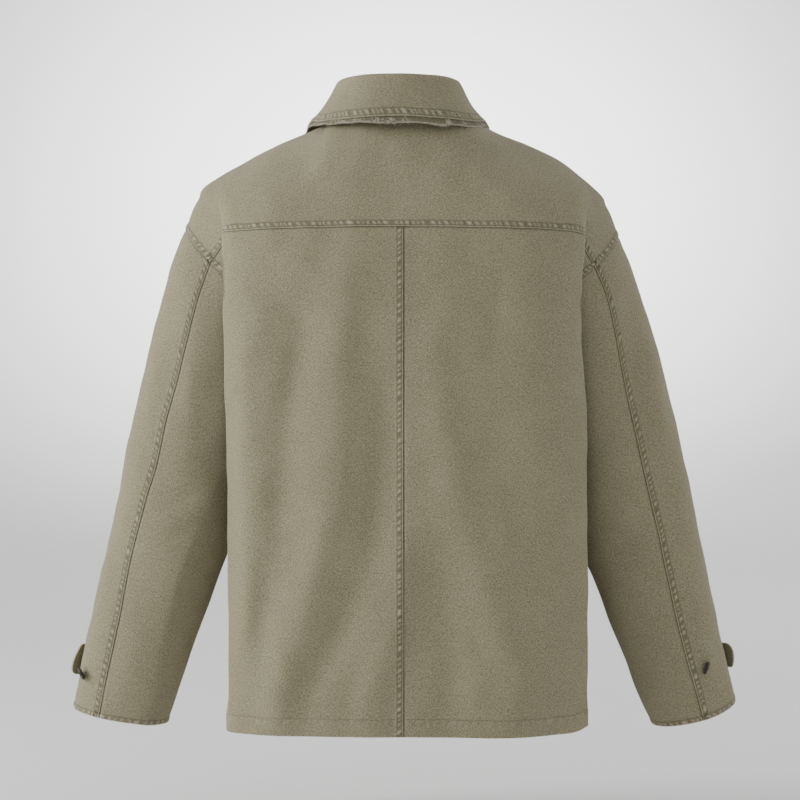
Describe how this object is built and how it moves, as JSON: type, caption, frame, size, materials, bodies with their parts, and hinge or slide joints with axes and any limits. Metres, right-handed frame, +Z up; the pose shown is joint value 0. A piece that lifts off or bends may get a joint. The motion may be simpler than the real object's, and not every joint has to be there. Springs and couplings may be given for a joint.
{
  "type": "work jacket",
  "caption": "Olive twill work jacket, filled out as worn and hollow, with a turned collar, straight back yoke, long two-piece sleeves and buttoned cuff tabs.",
  "frame": {"origin": "base of the neck, on the line between the two neck points, where the wearer holds the jacket up", "axes": "+X towards the wearer's right, +Y out of the front of the jacket, +Z up; the back that the picture shows faces -Y"},
  "size_m": [0.759, 0.2494, 0.7336],
  "materials": {
    "twill": "washed matt cotton twill in olive drab",
    "raw_edge": "frayed raw edge of the same twill",
    "buttons": "dark brown, satin"
  },
  "bodies": {
    "root": {"back_left": "twill", "back_right": "twill", "front_left": "twill", "front_right": "twill", "yoke": "twill", "sleeve_top_left": "twill", "sleeve_under_left": "twill", "sleeve_top_right": "twill", "sleeve_under_right": "twill", "collar_stand": "twill", "collar_leaf": "twill", "cuff_tab_left": "twill", "cuff_tab_right": "twill", "collar_raw_strip": "raw_edge", "front_button_1": "buttons", "front_button_2": "buttons", "front_button_3": "buttons", "front_button_4": "buttons", "front_button_5": "buttons", "front_button_6": "buttons", "tab_button_left": "buttons", "tab_button_right": "buttons", "spare_button_left": "buttons", "spare_button_right": "buttons"}
  },
  "joints": []
}
